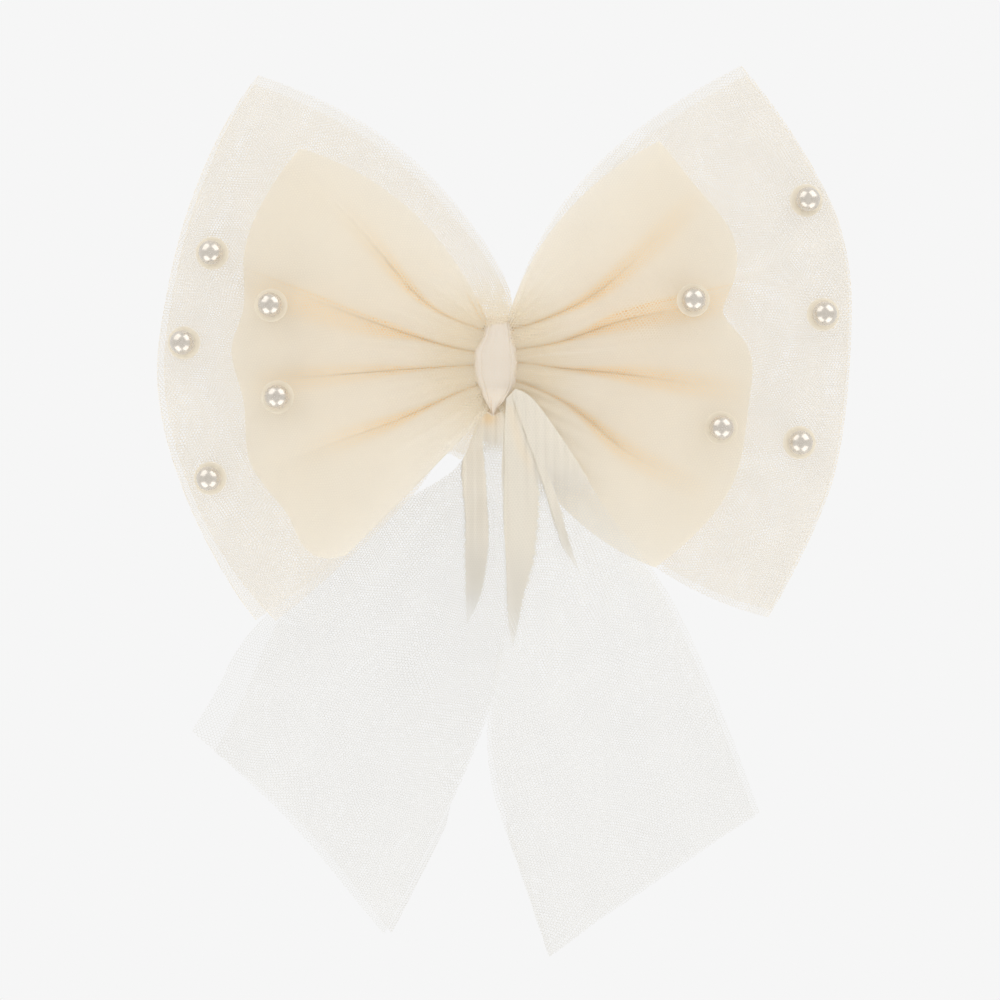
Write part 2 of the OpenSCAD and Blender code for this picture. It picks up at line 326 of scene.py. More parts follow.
def net_material(name, yarn, painted_crease_colour, turn, drift, through=(0.45, 0.45), pack=0.11):
    """Tulle. The colour after its yarn is the glow and shade painted into its creases, through the share of light
    that passes its yarn on the flat and in the creases, and pack how far the creases close its holes, in mm."""
    s = Shader(name)
    mask, lines = net_mask(s, turn, drift, pack)
    where = s.attribute("net", "Vector")
    tone = s.noise(where, 0.08, 3.0)
    colour = s.blend(s.map_range(tone, 0.3, 0.7), tuple(c * 0.97 for c in yarn), yarn)
    painted_crease_colour = s.blend(lines, tuple(c * 0.93 for c in painted_crease_colour), painted_crease_colour)
    # painted glow and shade: the colour goes to the crease colour where the cloth is creased or packed
    colour = s.blend(s.attribute("crease", "Fac"), colour, painted_crease_colour)
    # painted orange glow: the colour goes towards the glow colour by the second mask
    colour = s.blend(s.attribute("painted_glow_mask", "Fac"), colour, PAINTED_GLOW)
    front = s.principled(colour, 0.62, Sheen_Weight=0.15, Sheen_Roughness=0.4, Specular_IOR_Level=0.3)
    thread = s.mix(s.map_range(s.attribute("crease", "Fac"), 0, 1, *through), front, s.translucent(colour))
    return s.finish(s.mix(mask, s.node("ShaderNodeBsdfTransparent").outputs[0], thread))


def lining_material(name):
    """A soft ivory plain weave, with a golden glow and shade painted into its creases."""
    s = Shader(name)
    where = s.attribute("net", "Vector")
    crease = s.attribute("crease", "Fac")
    weave = s.math("MULTIPLY", *(s.wave(where, direction, 1.1, 0.6, 1.0) for direction in ("X", "Y")))
    slubs = s.noise(s.vector("MULTIPLY", where, (0.25, 1.6, 1)), 0.5, 3.0)
    tone = s.noise(where, 0.045, 3.0)
    ivory = s.blend(s.map_range(tone, 0.3, 0.7), (0.98, 0.935, 0.84), (0.985, 0.95, 0.87))
    ivory = s.blend(s.math("MULTIPLY", weave, 0.25), ivory, (0.96, 0.89, 0.77))
    # painted glow and shade: the creases are painted orange
    colour = s.blend(crease, ivory, (1.0, 0.75, 0.40))
    height = s.math("ADD", s.math("MULTIPLY", weave, 0.6), slubs)
    relief = s.bump(height, 0.0001, 0.35)
    front = s.principled(colour, 0.7, relief, Sheen_Weight=0.2, Sheen_Roughness=0.5, Specular_IOR_Level=0.25)
    return s.finish(s.mix(0.42, front, s.translucent(colour)))


def wrap_material(name):
    """Tulle pulled tight over ivory cloth."""
    s = Shader(name)
    where = s.attribute("net", "Vector")
    crease = s.attribute("crease", "Fac")
    mask, _ = net_mask(s, 8, 3.0)
    tone = s.noise(where, 0.15, 3.0)
    ivory = s.blend(s.map_range(tone, 0.3, 0.7), (0.95, 0.85, 0.715), (0.97, 0.88, 0.76))
    # painted shade and glow: the wrap's grooves and flanks go tan
    ivory = s.blend(crease, ivory, (0.96, 0.74, 0.50))
    colour = s.blend(s.math("MULTIPLY", mask, 0.55), ivory, (0.97, 0.905, 0.82))
    relief = s.bump(mask, 0.00012, 0.5)
    front = s.principled(colour, 0.65, relief, Sheen_Weight=0.25, Sheen_Roughness=0.4, Specular_IOR_Level=0.3)
    return s.finish(s.mix(0.2, front, s.translucent(colour)))


def pearl_material(name):
    s = Shader(name)
    where = s.here()
    cloud = s.noise(where, 900, 3.0)
    colour = s.blend(s.map_range(cloud, 0.3, 0.7), (0.63, 0.575, 0.50), (0.71, 0.655, 0.58))
    rough = s.map_range(s.noise(where, 2500, 2.0), 0.3, 0.7, 0.2, 0.28)
    front = s.principled(
        colour, rough, s.bump(cloud, 0.00002, 0.25), Metallic=0.55, Coat_Weight=0.8, Coat_Roughness=0.05,
        Specular_IOR_Level=0.6,
    )
    return s.finish(front)


def disc_material(name):
    s = Shader(name)
    where = s.here()
    cloud = s.noise(where, 300, 3.0)
    colour = s.blend(s.map_range(cloud, 0.3, 0.7), (0.975, 0.93, 0.835), (0.985, 0.945, 0.86))
    grain = s.noise(where, 6000, 2.0)
    front = s.principled(colour, 0.42, s.bump(grain, 0.00002, 0.3), Specular_IOR_Level=0.4)
    return s.finish(s.mix(0.5, front, s.translucent(colour)))


def steel_material(name):
    s = Shader(name)
    where = s.here()
    brushed = s.noise(s.vector("MULTIPLY", where, (1, 9, 26)), 420, 4.0, 0.6)
    smear = s.noise(where, 160, 3.0)
    colour = s.blend(s.map_range(brushed, 0.3, 0.7), (0.62, 0.61, 0.585), (0.76, 0.755, 0.735))
    rough = s.math("ADD", s.map_range(brushed, 0.3, 0.7, 0.18, 0.32), s.map_range(smear, 0.4, 0.8, 0.0, 0.1))
    return s.finish(s.principled(colour, rough, s.bump(brushed, 0.00003, 0.4), Metallic=1.0))


def thread_material(name):
    s = Shader(name)
    where = s.here()
    twist = s.wave(where, "DIAGONAL", 700)
    # painted shade: the yarn is darker where the twist's relief is low, in its grooves
    colour = s.blend(twist, (0.80, 0.73, 0.60), (0.93, 0.87, 0.76))
    return s.finish(s.principled(colour, 0.6, s.bump(twist, 0.00008, 0.6), Sheen_Weight=0.3))


def ribbon_material(name):
    s = Shader(name)
    where = s.attribute("net", "Vector")
    ribs = s.wave(where, "X", 0.55, 0.3)
    cross = s.noise(s.vector("MULTIPLY", where, (0.5, 6, 1)), 1.5, 2.0)
    # painted shade: the ribbon is darker where its ribs' relief is low, between the ribs
    colour = s.blend(ribs, (0.80, 0.72, 0.58), (0.93, 0.87, 0.75))
    height = s.math("ADD", ribs, s.math("MULTIPLY", cross, 0.4))
    return s.finish(s.principled(colour, 0.6, s.bump(height, 0.00015, 0.7), Sheen_Weight=0.25))


# ---- wings
ALONG, ACROSS = 88, 210  # cells from the knot to the fold, and from the bottom edge to the top edge
WAIST_HALF = 13  # half the height of the gathers at the knot

# the lowest points between the pleats in the front view, (distance from the middle, height), bottom one first
LEFT_VALLEYS = [
    [(0, -5.2), (5.2, -7), (12, -9.5), (25, -15.7), (55, -27), (90, -42)],
    [(0, -0.4), (7, -0.7), (25, -1.8), (72, -5.7), (110, -9)],
    [(0, 3.0), (7, 3.8), (25, 8.3), (68, 24), (110, 40)],
    [(0, 9.6), (5.8, 11.7), (15, 15.2), (25, 21.5), (42, 41), (60, 60), (80, 80)],
]
RIGHT_VALLEYS = [
    [(0, -4.0), (6.5, -5.7), (15.8, -9.3), (27.5, -16), (41.5, -28), (50.8, -33.7), (68, -42), (100, -58)],
    [(0, 0.4), (7.2, 0.3), (24.8, -2), (34.8, -2.9), (65, -7), (110, -12)],
    [(0, 3.9), (7.2, 4.7), (21.5, 7), (34.8, 11.7), (65, 19), (110, 32)],
    [(0, 10.5), (7.5, 12), (21.5, 16.7), (34.8, 24), (51.5, 39), (70, 58), (90, 82)],
]
BROAD = 2  # the valley with the broadest painted glow, which has a crisp painted upper rim

# how high the pleats stand and how round their tops are, against the distance from the knot
PLEAT_HEIGHT = spline([
    (0, 0.8), (8, 1.2), (20, 2.4), (35, 3.8), (50, 4.6), (65, 3.4), (80, 1.5), (95, 0.4), (130, 0),
])
PLEAT_ROUND = spline([(0, 0.45), (20, 0.42), (35, 0.5), (50, 0.75), (65, 1.0), (130, 1.2)])

# how strongly glow is painted into each valley, against the distance from the knot
LEFT_GLOW = [
    [(0, 0.6), (14, 0.9), (20, 1), (34, 1), (50, 0.42), (64, 0.1), (75, 0)],
    [(0, 0.6), (14, 0.8), (20, 0.9), (30, 0.9), (45, 0.42), (62, 0.42), (84, 0)],
    [(0, 0.6), (14, 0.9), (20, 1), (34, 1), (47, 0.48), (66, 0.48), (90, 0)],
    [(0, 0.6), (14, 0.9), (20, 1), (40, 0.85), (52, 0.35), (62, 0.15), (76, 0)],
]
RIGHT_GLOW = [
    [(0, 0.6), (14, 0.9), (20, 1), (38, 1), (54, 0.5), (70, 0.2), (84, 0)],
    [(0, 0.6), (14, 0.8), (20, 1), (36, 1), (46, 0.8), (60, 0.6), (86, 0)],
    [(0, 0.6), (14, 0.9), (20, 1), (38, 1), (48, 0.8), (64, 0.6), (92, 0)],
    [(0, 0.6), (14, 0.9), (20, 1), (42, 1), (56, 0.5), (74, 0.3), (90, 0)],
]
# half the width of each valley's painted glow, against the distance from the knot
THIN_GLOW = spline([(0, 0.5), (12, 0.5), (25, 0.8), (35, 1.7), (50, 3.2), (70, 4.2)])
WIDE_GLOW = spline([(0, 0.5), (12, 0.5), (25, 0.9), (35, 2.2), (50, 3.8), (70, 5.0)])
GLOW_WIDTHS = [THIN_GLOW, THIN_GLOW, WIDE_GLOW, THIN_GLOW]

# two short creases in the left wing beside the notch: x against height, and the height where each ends
NOTCH_LINES = [
    (spline([(13.3, -3.8), (20, -7.8), (24, -9.8)]), 24.5),
    (spline([(13.0, -2.8), (18, -4.9), (22.7, -6.5)]), 23.5),
]


def bezier(a, b, c, u):
    u = u[..., None]
    return (1 - u) ** 2 * a + 2 * u * (1 - u) * b + u * u * c


def mirrored(front):
    """The columns of a front ply, followed by the same columns from the fold back to the knot."""
    return np.concatenate([front, front[:, -2::-1]], axis=1)


class Loop:
    """One ply folded into a loop: out from the knot in front, round the fold and back behind.

    reach is the fold's distance from the knot against the angle in degrees, from -bottom to top. start is
    where the top edge leaves the knot, and bow and drop bend the top and the bottom edge. depth is half the
    loop's depth where it is fullest and at the knot. A sheer loop is the tulle: it lies flatter at the fold
    and less glow is painted into its creases. notch draws the top edge in beside the knot, sag lets the bottom
    edge down."""

    def __init__(
        self, side, reach, top, bottom, start, bow, drop, depth, pleats=1.0, sheer=False, notch=0.0, sag=0.0
    ):
        self.side, self.reach, self.top, self.bottom = side, spline(reach), top, bottom
        self.start, self.bow, self.drop = start, np.array(bow), np.array(drop)
        self.depth, self.depth_knot = depth
        self.pleats, self.sheer, self.notch, self.sag = pleats, sheer, notch, sag
        self.valleys = [spline(v) for v in (LEFT_VALLEYS if side < 0 else RIGHT_VALLEYS)]
        self.glow = LEFT_GLOW if side < 0 else RIGHT_GLOW
        self.fold_thinning = 0.92 if sheer else 0.75
        self.fold_sharpness = 60 if sheer else 24
        # the tulle gets less painted glow in its creases than the lining
        self.painted_glow_scale = 0.35 if sheer else 1.0

    def front_view(self, u, v):
        """x and z at u, from the knot 0 to the fold 1, and v, from the bottom edge -1 to the top edge 1."""
        a = (self.top - self.bottom) / 2 + (self.top + self.bottom) / 2 * v
        r = self.reach(a)
        a = np.radians(a)
        end = np.stack([self.side * r * np.cos(a), r * np.sin(a)], -1)
        up = smooth(v, 0.45, 1.0)
        start_x = self.side * 0.1 + (self.start[0] - self.side * 0.1) * up
        start = np.stack([start_x, WAIST_HALF * v + self.start[1] * up], -1)
        middle = (start + end) / 2 + (np.maximum(0, v) ** 2)[..., None] * self.bow
        middle = middle + (np.maximum(0, -v) ** 2)[..., None] * self.drop
        lean_in = self.notch * up * u / 0.1 * np.exp(1 - u / 0.1)
        hang = self.sag * (np.exp(-(((u - 0.14) / 0.045) ** 2)) - 0.45 * np.exp(-(((u - 0.27) / 0.08) ** 2)))
        hang = hang * smooth(-v, 0.5, 1.0)
        return bezier(start, middle, end, u) + np.stack([lean_in, -hang], -1)

    def half_depth(self, u):
        grown = self.depth_knot + (self.depth - self.depth_knot) * np.sin(np.pi / 2 * np.minimum(1, 2 * u))
        thin = 1 - self.fold_thinning * np.maximum(0, 2 * u - 1) ** 1.3
        return grown * thin * np.sqrt(np.maximum(0, 1 - u**self.fold_sharpness))

    def valley_marks(self, xz, v):
        """For each column of the plan, the v of its bottom edge, of the valleys and of its top edge."""
        columns = xz.shape[1]
        marks = [np.full(columns, -1.0)]
        marks += [crossing(xz[..., 1] - valley(self.side * xz[..., 0]), v) for valley in self.valleys]
        marks += [np.full(columns, 1.0)]
        apart = np.arange(len(marks))[:, None] * 1e-4
        return np.maximum.accumulate(np.array(marks) + apart, axis=0)

    def crowns(self, marks, r, v):
        """How high each point lies on its pleat, from 0 in a valley to 1 on top."""
        crown = np.zeros_like(v)
        last = len(marks) - 2
        for k in range(last + 1):
            lo, hi = marks[k][None], marks[k + 1][None]
            t = np.clip((v - lo) / np.maximum(hi - lo, 1e-4), 0, 1)
            if k == 0:
                shape = np.sin(np.pi * (0.38 + 0.62 * t))
            elif k == last:
                shape = np.sin(np.pi * 0.62 * t)
            else:
                shape = np.sin(np.pi * t)
            inside = (v >= lo) & (v <= hi)
            crown = np.where(inside, np.maximum(shape, 0) ** PLEAT_ROUND(r), crown)
        return crown

    def notch_creases(self, x, z):
        beside = np.zeros_like(x)
        if self.side < 0:
            for line, end in NOTCH_LINES:
                near = np.exp(-(((x - line(z)) / 0.42) ** 2))
                beside = np.maximum(beside, near * smooth(z, 11.5, 13.5) * (1 - smooth(z, end - 5, end)))
        return beside

    def painted_glow_share(self, xz, r, u, v, marks, beside):
        """How strongly each point is painted with the glow and shade of light that has been through the cloth: in
        the valleys, along the broad valley's rim and the creases by the notch, and in sheer loops along the fold
        and by the knot.
        """
        per_v = np.linalg.norm(np.gradient(xz, axis=0), axis=2) / (v[1, 0] - v[0, 0])
        crease = np.zeros_like(u)
        for k, (width, glow) in enumerate(zip(GLOW_WIDTHS, self.glow)):
            off = (v - marks[k + 1][None]) * per_v
            half = width(r)
            strength = np.interp(r, *np.array(glow).T)
            if k == BROAD and self.side < 0:
                off = off + 0.6 * half * smooth(r, 25, 45)
            crease = np.maximum(crease, np.exp(-(np.abs(off / half) ** 3)) * strength)
            if k == BROAD:
                rim = np.exp(-(((off - 0.9 * half) / 0.6) ** 2)) * smooth(r, 30, 42) * strength * 1.5
                crease = np.maximum(crease, rim)
        crease = np.maximum(crease, 0.8 * beside) * self.painted_glow_scale
        if self.sheer:
            fold_line = 0.35 * np.exp(-(((1 - u) * r / 0.35) ** 2))
            by_knot = 0.6 * (1 - smooth(r, 12, 34))
            crease = np.maximum(np.maximum(crease, fold_line), by_knot)
        return crease

    def build(self, name, ripple, seed):
        v = np.linspace(-1, 1, ACROSS + 1)
        u = np.sin(np.pi / 2 * np.arange(ALONG + 1) / ALONG) ** 0.9
        U, V = np.meshgrid(u, v)
        xz = self.front_view(U, V)
        x, z = xz[..., 0], xz[..., 1]
        r = np.hypot(x, z)
        marks = self.valley_marks(xz, v)
        crown = self.crowns(marks, r, V)
        beside = self.notch_creases(x, z)
        height = PLEAT_HEIGHT(r) * self.pleats * (1 - U**10)
        # finer gathers between the pleats, which die away from the knot
        fine = 0.35 * np.sin(V * 31 + 1.3 * seed) + 0.25 * np.sin(V * 53 + 2.1 * seed)
        fine = fine * smooth(r, 4, 14) * (1 - smooth(r, 25, 62)) * self.pleats
        soft = ripple(r, np.degrees(np.arctan2(z, self.side * x)))
        depth = self.half_depth(U)
        base = WAIST_Y - LEAN * r
        front = base - depth + height * (0.5 - crown) + fine + soft + 0.4 * beside
        back = base + depth - 0.6 * height * (0.5 - crown[::-1]) * (1 - smooth(r, 60, 95)) + 0.6 * soft
        back = np.maximum(back, front + 0.15 * (1 - U))
        y = np.concatenate([front, back[:, -2::-1]], axis=1)
        plan = mirrored(xz)
        points = np.stack([plan[..., 0], y, plan[..., 1]], -1)
        # the cloth's own coordinates: the front view, plus what the curves use up along each thread
        step = np.linalg.norm(np.diff(points, axis=1), axis=2) - np.linalg.norm(np.diff(plan, axis=1), axis=2)
        extra = np.concatenate([np.zeros((len(v), 1)), np.cumsum(step, axis=1)], axis=1)
        outward = plan / np.maximum(np.linalg.norm(plan, axis=2, keepdims=True), 1)
        net = plan + outward * extra[..., None] * 0.9
        return grid_object(name, points, net, mirrored(self.painted_glow_share(xz, r, U, V, marks, beside)))


# soft waves of the outer cloth, against the distance from the knot and the angle in degrees
def still(r, a):
    return np.zeros_like(r)


def left_ripple(r, a):
    waves = 0.7 * np.sin(np.radians(a * 9 + 20)) + 0.5 * np.sin(np.radians(a * 15 + r * 3))
    return smooth(r, 60, 100) * waves


def right_ripple(r, a):
    near = np.exp(-(((a - 20) / 9) ** 2)) + np.exp(-(((a + 24) / 9) ** 2))
    wave = np.sin(np.radians(a * 26)) * near * 1.3 + 0.6 * np.sin(np.radians(a * 8 + 60))
    return smooth(r, 62, 98) * wave


# how far each fold lies from the knot, against the angle in degrees
LEFT_REACH = [
    (-52, 118), (-47, 117.2), (-41, 115.6), (-35, 114.1), (-20, 112.5), (0, 112.9),
    (11, 112.2), (22, 113.5), (34, 117.2), (50.5, 124.5), (54, 126),
]
LEFT_REACH_IN = [
    (-52, 113.2), (-44, 112.3), (-35, 111.2), (-20, 110.2), (0, 110.6),
    (11, 110.2), (22, 111.7), (34, 115.6), (50.5, 123.5), (54, 125),
]
RIGHT_REACH = [
    (-46, 125.5), (-43, 124.4), (-33, 120.9), (-21, 119.3), (-9, 118), (4, 119),
    (12, 121.3), (20, 123.4), (28, 124.1), (38.4, 125.3), (50.4, 128.7), (54, 130),
]
RIGHT_REACH_IN = [(a, r - 0.9) for a, r in RIGHT_REACH]
LEFT_LINING = [
    (-52, 81.6), (-49, 86.3), (-37, 86.2), (-22, 88.4), (-11.5, 85.5), (-5.5, 85.7),
    (3.8, 88.3), (8.6, 86.8), (13.3, 86.4), (22.7, 91.2), (31, 93.9), (47.7, 96.9),
]
RIGHT_LINING = [
    (-52, 86.6), (-39, 88), (-26, 88.8), (-8, 85.7), (5, 83.6),
    (13.2, 78.2), (18, 83), (27, 89.7), (40, 89.3), (53.6, 92.3),
]

# colours painted into the creases and stacked plies: glow and shade of light through the cloth
WING_PAINTED_CREASE, TAIL_PAINTED_CREASE = (0.97, 0.87, 0.68), (0.975, 0.90, 0.78)
TAIL_YARN = (0.90, 0.885, 0.845)
tulle_front = net_material("tulle_a", (0.95, 0.91, 0.835), WING_PAINTED_CREASE, 4, 11.0)
tulle_inner = net_material("tulle_b", (0.95, 0.90, 0.815), WING_PAINTED_CREASE, -9, 47.0)
tail_a = net_material("tulle_tail_a", TAIL_YARN, (1.0, 0.95, 0.85), 2, 5.0, (0.45, 0.04), 0.5)
tail_c = net_material("tulle_tail_c", TAIL_YARN, (0.88, 0.815, 0.69), 2, 5.0, (0.45, 0.06), 0.40)
tail_b = net_material("tulle_tail_b", TAIL_YARN, TAIL_PAINTED_CREASE, 13, 83.0, (0.45, 0.06), 0.42)
lining = lining_material("lining_cloth")


def cloth(obj, material, node):
    obj.data.materials.append(material)
    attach(obj, BOW)
    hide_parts(node)
    return obj


# name, loop, ripple, seed of its gathers, and material
WINGS = [
    (
        "left_wing_outer",
        Loop(-1, LEFT_REACH, 50.5, 47.0, (4.8, 3.0), (24.2, 18), (2, -9), (11.0, 3.9), 0.85, True, 3.0, 6.5),
        left_ripple, 1.0, tulle_front,
    ),
    (
        "left_wing_inner",
        Loop(-1, LEFT_REACH_IN, 49.2, 49.6, (3.9, 1.2), (24.2, 16), (2, -6), (9.6, 3.2), 0.9, True, 3.0, 5.5),
        left_ripple, 2.0, tulle_inner,
    ),
    (
        "left_lining_loop",
        Loop(-1, LEFT_LINING, 47.7, 52, (-2, 0.0), (12.2, 15.3), (0, -1), (7.0, 2.2)),
        still, 3.0, lining,
    ),
    (
        "right_wing_outer",
        Loop(1, RIGHT_REACH, 50.4, 43, (5.2, 3.0), (-27, 9), (-3.5, -24.5), (11.0, 3.9), 0.85, True),
        right_ripple, 4.0, tulle_front,
    ),
    (
        "right_wing_inner",
        Loop(1, RIGHT_REACH_IN, 49.0, 42, (5.6, 1.2), (-26, 7), (-3.5, -23), (9.6, 3.2), 0.9, True),
        right_ripple, 5.0, tulle_inner,
    ),
    (
        "right_lining_loop",
        Loop(1, RIGHT_LINING, 53.6, 52, (3.5, 0.0), (-14.8, 8.6), (-8.1, -14.8), (7.0, 2.2)),
        still, 6.0, lining,
    ),
]
for name, loop, ripple, seed, material in WINGS:
    side = name.split("_")[0]
    node, slot = (f"{side}_wing", "tulle") if loop.sheer else (f"{side}_lining", "lining")
    cloth(loop.build(name, ripple, seed), material, node)

# ---- tails
TAIL_DOWN, TAIL_ACROSS = 150, 130  # cells from the knot to the cut end, and from side to side
SAMPLES = 400  # steps across a tail in which its fold lines are looked for
# the line in the right tail beside which a faint shade is painted, x against height
TAIL_LINE = spline([(-60, 13.4), (-37.6, 13.4), (-34, 12.7), (-30.4, 11), (-22.4, 8.3), (-11.8, 5.8)])

# A fold lies between two lines, its hidden and its visible turn. step is how far one ply lies behind the next,
# end the height where it has opened out, and packed the heights between which its cloth goes from loose to close
# and is painted with the glow and shade of stacked plies.
Fold = namedtuple("Fold", "hidden visible step end packed")


def line_of(points):
    """x as a function of height from (x, z) points."""
    return spline([(z, x) for x, z in sorted(points, key=lambda p: p[1])])


def share_at(plan, line, across):
    """For each row of a tail's plan, how far across it a line lies."""
    x, z = plan[..., 0], plan[..., 1]
    return crossing((x - line(z)).T, across)


def fold_turns(plan, across, folds):
    """The turns of the cloth across each row, from edge to edge, as (share of the width, step behind)."""
    rows = np.arange(len(plan))
    turns = [(np.zeros(len(rows)), np.zeros(len(rows)))]
    for fold in folds:
        a, b = share_at(plan, fold.hidden, across), share_at(plan, fold.visible, across)
        at_z = plan[rows, np.clip((a * SAMPLES).astype(int), 0, SAMPLES), 1]
        shut = smooth(-at_z, -fold.end - 22, -fold.end)
        middle, half = (a + b) / 2, (a - b) / 2
        half = half * (1 - shut) - 0.02 * shut
        turns.append((middle + half, fold.step * (1 - shut)))
        turns.append((middle - half, fold.step * (1 - shut)))
    turns.append((np.ones(len(rows)), np.zeros(len(rows))))
    return turns


def across_turns(turns):
    """Columns of points from turn to turn: their share of the width, their y and their ply."""
    stretch = [np.abs(b[0] - a[0]) for a, b in zip(turns, turns[1:])]
    share_of = np.array([max(x.max(), 0.02) for x in stretch])
    counts = np.maximum(8, np.round(share_of / share_of.sum() * TAIL_ACROSS)).astype(int)
    shares, ys, plies = [], [], []
    level = np.zeros(len(turns[0][0]))
    for k, n in enumerate(counts):
        t = ((1 - np.cos(np.pi * np.linspace(0, 1, n + 1))) / 2)[(0 if k == 0 else 1) :][None]
        a, b = turns[k][0][:, None], turns[k + 1][0][:, None]
        shares.append(a + (b - a) * t)
        plies += [k] * t.shape[1]
        next_level = level - turns[k + 1][1]
        ys.append(level[:, None] + (next_level - level)[:, None] * smooth(t, 0.0, 1.0))
        level = next_level
    return np.concatenate(shares, axis=1), np.concatenate(ys, axis=1), np.array(plies)


def tail_crease(share, z, turns, folds, dense):
    """How close the cloth is packed, and how far it is painted with the glow and shade of stacked plies: at the
    knot, and again where a fold lays three plies over each other.
    """
    crease = 0.9 * smooth(z, *dense)
    for k, fold in enumerate(folds):
        hi, lo = turns[2 * k + 1][0][:, None], turns[2 * k + 2][0][:, None]
        inside = smooth(share, lo - 0.012, lo - 0.002) * (1 - smooth(share, hi + 0.002, hi + 0.012))
        crease = np.maximum(crease, 0.95 * inside * smooth(z, *fold.packed))
    return crease


def tail_painted_light(x, z):
    """Painted orange light under the knot's tip, and a faint painted shade beside the line in the right tail."""
    under_tip = np.exp(-(((x + 2.3) / 2.6) ** 2) - (((z + 18.0) / 2.6) ** 2))
    beside_line = np.exp(-(((x - TAIL_LINE(z) + 1.6) / 2.0) ** 2)) * smooth(z, -40, -30)
    return np.maximum(0.75 * under_tip, 0.22 * beside_line * smooth(-z, 12, 16))


def tail_sheet(name, edges, bow_up, side, folds, lift, shift):
    """One ply of a tail between its two side edges. bow_up rounds the cut end, lift sets the ply before or
    behind the other, and shift moves its cut end aside."""
    hang, waves, dense = side
    s = np.linspace(0, 1, TAIL_DOWN + 1) ** 1.15
    across = np.linspace(0, 1, SAMPLES + 1)
    L, R = (track(edge)(s) for edge in edges)

    def plan(share):
        p = L[:, None] * (1 - share[..., None]) + R[:, None] * share[..., None]
        rise = bow_up * np.sin(np.pi * share) * (s[:, None] ** 5)
        return p + np.stack([0.4 * rise, rise], -1)

    whole = plan(np.broadcast_to(across, (len(s), len(across))))
    turns = fold_turns(whole, across, folds)
    share, y, plies = across_turns(turns)
    xz = plan(share)
    x, z = xz[..., 0], xz[..., 1]
    crease, painted_glow_mask = tail_crease(share, z, turns, folds, dense), tail_painted_light(x, z)
    gathers = 0.2 * np.sin(2.05 * x + 0.03 * z) + 0.09 * np.sin(3.9 * x + 0.05 * z + 1)
    y = y + gathers * smooth(z, -85, -35)
    y = y - y.mean(axis=1, keepdims=True) + hang(x, z) + waves(s[:, None], share) + lift
    xz = xz + np.array(shift) * smooth(s, 0.1, 0.7)[:, None, None]
    points = np.stack([xz[..., 0], y, xz[..., 1]], -1)
    net = xz + np.stack([0.31 * plies, 0.17 * plies], -1)
    return grid_object(name, points, net, crease, painted_glow_mask)


# the tails' side edges as (share of the way down, x, z)
LEFT_TAIL_L = [
    (0, -4.5, -12.5), (0.12, -10.9, -31.5), (0.2, -17.5, -38), (0.3, -32, -46.4),
    (0.6, -73.2, -86.7), (0.8, -83.9, -109), (1, -95, -131),
]
LEFT_TAIL_L_BACK = [
    (0, -4.5, -12.5), (0.12, -10.9, -31.5), (0.2, -18.5, -38.6), (0.3, -34, -48),
    (0.6, -81.5, -88.5), (0.8, -91.4, -105.2), (1, -101.3, -121.8),
]
LEFT_TAIL_R = [
    (0, 2.5, -12.5), (0.12, 4.0, -32), (0.3, 4.8, -60), (0.42, 4.2, -79),
    (0.55, 1.0, -105.5), (0.68, -6.5, -129), (0.85, -20.5, -160), (1, -36.2, -191),
]
RIGHT_TAIL_L = [
    (0, 3.4, -12.0), (0.12, 2.7, -24), (0.3, 2.5, -50), (0.42, 3.6, -80),
    (0.55, -0.4, -108), (0.7, -0.2, -136), (0.85, 8, -163), (1, 19.2, -195.7),
]
RIGHT_TAIL_R = [
    (0, 6.6, -8.6), (0.06, 11.6, -11.2), (0.13, 18.5, -20), (0.22, 27.5, -33.7), (0.34, 37.5, -49.6),
    (0.48, 50.2, -66), (0.62, 61, -83.5), (0.8, 73.8, -112.3), (1, 87.5, -149.3),
]

left_fold = Fold(
    line_of([
        (-0.5, -12), (-4.4, -24), (-4, -32), (-3.2, -46), (-2.7, -58), (-4, -72), (-6.5, -84), (-14, -106),
    ]),
    line_of([
        (-4.2, -12), (-8.4, -24), (-11.0, -32), (-10.2, -49), (-10.0, -63), (-10.2, -76), (-12, -88),
        (-18, -106),
    ]),
    step=0.45, end=-98, packed=(-86, -54),
)
right_fold = Fold(
    line_of([
        (5.8, -12), (8.3, -22.4), (11, -30.4), (13.4, -37.6), (13.3, -58), (12.4, -66), (9.6, -76),
        (7.4, -90), (5.6, -104),
    ]),
    line_of([
        (3.6, -12), (2.95, -22.5), (2.95, -32.7), (2.9, -60), (3.3, -68), (3.9, -76), (4.3, -90), (4.6, -104),
    ]),
    step=0.45, end=-104, packed=(-98, -56),
)
right_fold_2 = Fold(
    line_of([
        (6.0, -12), (13.8, -28), (16.6, -35.3), (20.0, -45), (22.6, -53), (24.6, -60), (29.6, -71), (34, -84),
    ]),
    line_of([
        (5.8, -12), (11.5, -28), (14.1, -35.3), (17.2, -45), (19.7, -53), (21.9, -60), (27.5, -71),
        (33.6, -84),
    ]),
    step=0.4, end=-80, packed=(-72, -44),
)


# how far forward a tail hangs, and its soft waves down its length s and across it q
def left_hang(x, z):
    return np.interp(z, [-200, -45, -28, -17, -12.5], [0, 0, -2.5, -6.6, -6.95])


def right_hang(x, z):
    lean = 0.14 * np.maximum(0, x - 3) * smooth(z, -52, -28)
    return np.interp(z, [-200, -42, -26, -17, -12.5, -8.5], [-28, -28, -24.5, -20, -18.2, -17.6]) - lean


def left_waves(s, q):
    broad = 1.6 * smooth(s, 0.25, 0.6) * np.sin(q * 11 + 2.5 * s)
    return broad + 0.8 * smooth(s, 0.1, 0.5) * np.sin(q * 23 - 3 * s + 1)


def right_waves(s, q):
    broad = 1.7 * smooth(s, 0.25, 0.6) * np.sin(q * 10 - 2.2 * s + 1)
    return broad + 0.8 * smooth(s, 0.1, 0.5) * np.sin(q * 21 + 3 * s)


